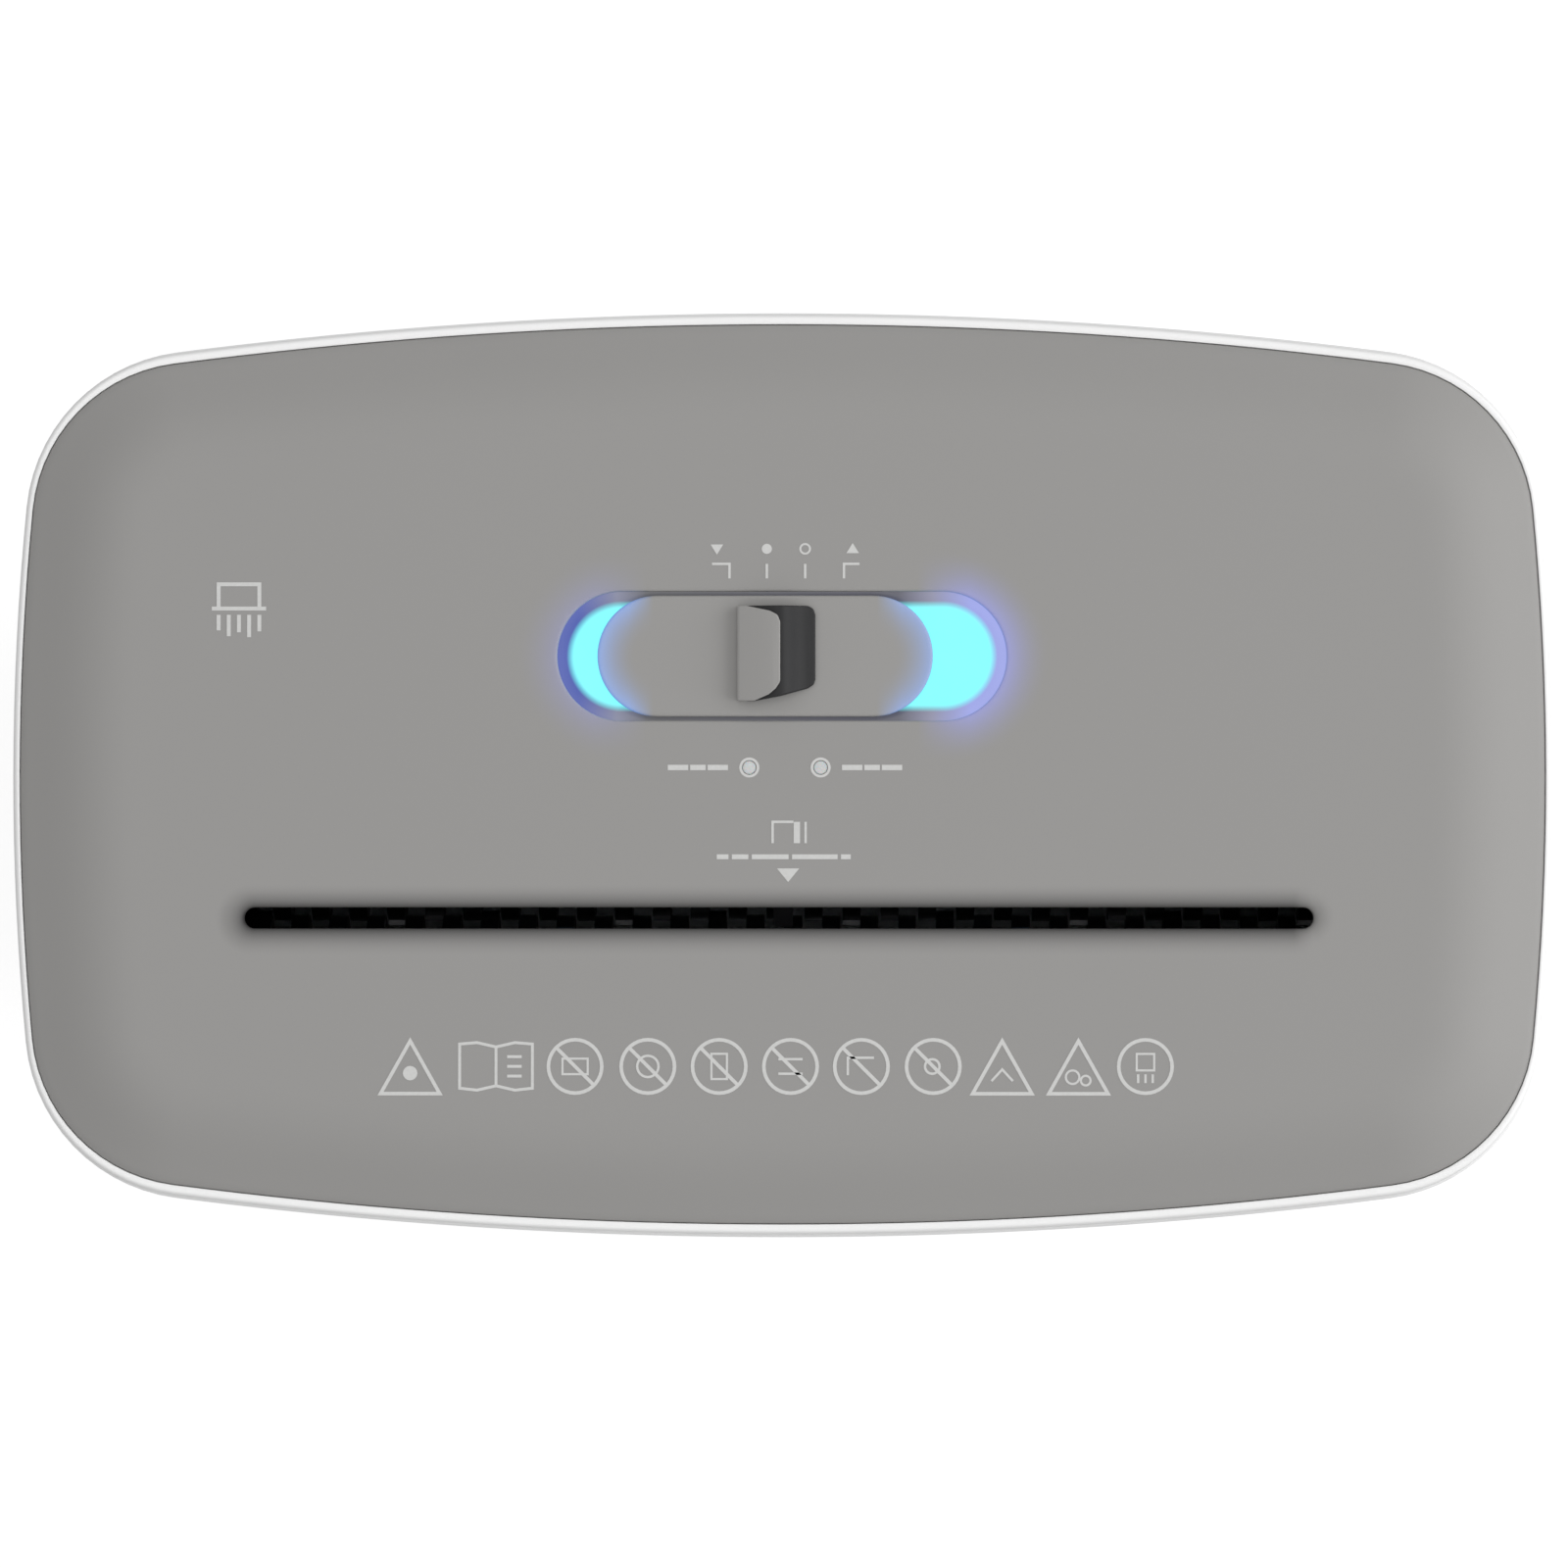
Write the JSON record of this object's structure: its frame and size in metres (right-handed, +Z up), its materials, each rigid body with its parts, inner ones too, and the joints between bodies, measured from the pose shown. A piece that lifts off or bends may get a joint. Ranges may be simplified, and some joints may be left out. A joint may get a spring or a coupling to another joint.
{
  "type": "paper shredder",
  "caption": "Cross-cut paper shredder: a barrel-shaped motor head with a feed slot and a lit slider switch, standing on a tapered waste bin.",
  "frame": {"origin": "on the floor, under the middle of the machine's outline", "axes": "+X to the right along the feed slot, +Y to the back, +Z up"},
  "size_m": [0.32, 0.192, 0.36],
  "materials": {
    "grey_plastic": "fine matt moulded texture",
    "white_plastic": "satin white",
    "charcoal_plastic": "soft matt",
    "black_plastic": "moulded",
    "window_plastic": "smoked, see-through",
    "lit_lens": "lit from behind",
    "indicator_white": "milky",
    "zinc_steel": "zinc plated",
    "screw_steel": "bright zinc",
    "cutter_steel": "hardened, lightly oiled",
    "shaft_steel": "ground",
    "gear_steel": "sintered, greased",
    "nylon": "natural nylon",
    "brass": "plain",
    "magnet": "ferrite",
    "circuit_board": "solder mask",
    "wire_red": "wire sleeve",
    "rubber": "matt"
  },
  "bodies": {
    "bin": {"waste_bin": "white_plastic", "bin_window": "window_plastic", "bin_feet": "rubber"},
    "switch_slider": {"slider_plate": "grey_plastic", "slider_grip": "charcoal_plastic", "slider_carrier": "black_plastic"},
    "front_cutter": {"front_cutter_shaft": "shaft_steel", "front_cutter_discs": "cutter_steel", "front_sync_gear": "gear_steel", "front_shaft_clip": "screw_steel"},
    "rear_cutter": {"rear_cutter_shaft": "shaft_steel", "rear_cutter_discs": "cutter_steel", "rear_sync_gear": "gear_steel", "drive_gear": "gear_steel", "rear_shaft_clip": "screw_steel"},
    "second_gear": {"second_reduction_gear": "gear_steel"},
    "first_gear": {"first_reduction_gear": "nylon"},
    "motor_rotor": {"rotor_shaft": "shaft_steel", "rotor_core": "shaft_steel", "rotor_commutator": "brass", "motor_pinion": "brass", "cooling_fan": "black_plastic"},
    "sensor_lever": {"paper_sensor_lever": "black_plastic"},
    "safety_plunger": {"interlock_plunger": "black_plastic"},
    "head": {"top_panel": "grey_plastic", "trim_ring": "white_plastic", "head_shell": "white_plastic", "base_cover": "charcoal_plastic", "front_feed_guide": "black_plastic", "rear_feed_guide": "black_plastic", "front_stripper_comb": "black_plastic", "rear_stripper_comb": "black_plastic", "switch_housing": "black_plastic", "motor_end_cap": "black_plastic", "gear_cover": "black_plastic", "interlock_switch": "black_plastic", "paper_sensor": "black_plastic", "power_board_parts": "black_plastic", "thermal_cutout": "black_plastic", "light_lens": "lit_lens", "indicator_lenses": "indicator_white", "panel_lamps": "indicator_white", "left_side_plate": "zinc_steel", "right_side_plate": "zinc_steel", "tie_rods": "zinc_steel", "motor_can": "zinc_steel", "tie_rod_screws": "screw_steel", "plate_screws": "screw_steel", "cover_screws": "screw_steel", "motor_screws": "screw_steel", "gear_pins": "shaft_steel", "cutter_bushes": "brass", "motor_magnets": "magnet", "motor_brushes": "magnet", "power_board": "circuit_board", "control_board": "circuit_board", "motor_leads": "wire_red", "cord_gland": "rubber"}
  },
  "joints": [
    {"name": "head_lift", "type": "slide", "parent": "bin", "child": "head", "axis": [0, 0, 1], "range_m": [0, 0.08]},
    {"name": "switch_slide", "type": "slide", "parent": "head", "child": "switch_slider", "axis": [1, 0, 0], "range_m": [-0.0078, 0.0149]},
    {"name": "rear_cutter_spin", "type": "hinge", "parent": "head", "child": "rear_cutter", "pos_m": [0, -0.016, 0.297], "axis": [1, 0, 0], "continuous": true},
    {"name": "front_cutter_spin", "type": "hinge", "parent": "head", "child": "front_cutter", "pos_m": [0, -0.043, 0.297], "axis": [1, 0, 0], "continuous": true},
    {"name": "second_gear_spin", "type": "hinge", "parent": "head", "child": "second_gear", "pos_m": [0, 0.01824, 0.28972], "axis": [1, 0, 0], "continuous": true},
    {"name": "first_gear_spin", "type": "hinge", "parent": "head", "child": "first_gear", "pos_m": [0, 0.03743, 0.31278], "axis": [1, 0, 0], "continuous": true},
    {"name": "motor_spin", "type": "hinge", "parent": "head", "child": "motor_rotor", "pos_m": [0, 0.045, 0.29], "axis": [1, 0, 0], "continuous": true},
    {"name": "sensor_lever_tilt", "type": "hinge", "parent": "head", "child": "sensor_lever", "pos_m": [0, -0.018, 0.332], "axis": [1, 0, 0], "range_deg": [0, 30], "stiffness_Nm_per_rad": 0.0005, "springref_deg": -20.05},
    {"name": "safety_plunger_press", "type": "slide", "parent": "head", "child": "safety_plunger", "axis": [0, 0, 1], "range_m": [0, 0.004], "stiffness_N_per_m": 200, "springref_m": -0.002}
  ],
  "couplings": [
    {"joint": "front_cutter_spin", "follows": "rear_cutter_spin", "ratio": -1},
    {"joint": "second_gear_spin", "follows": "rear_cutter_spin", "ratio": -3.6667},
    {"joint": "first_gear_spin", "follows": "rear_cutter_spin", "ratio": 14.667},
    {"joint": "motor_spin", "follows": "rear_cutter_spin", "ratio": -73.333}
  ]
}
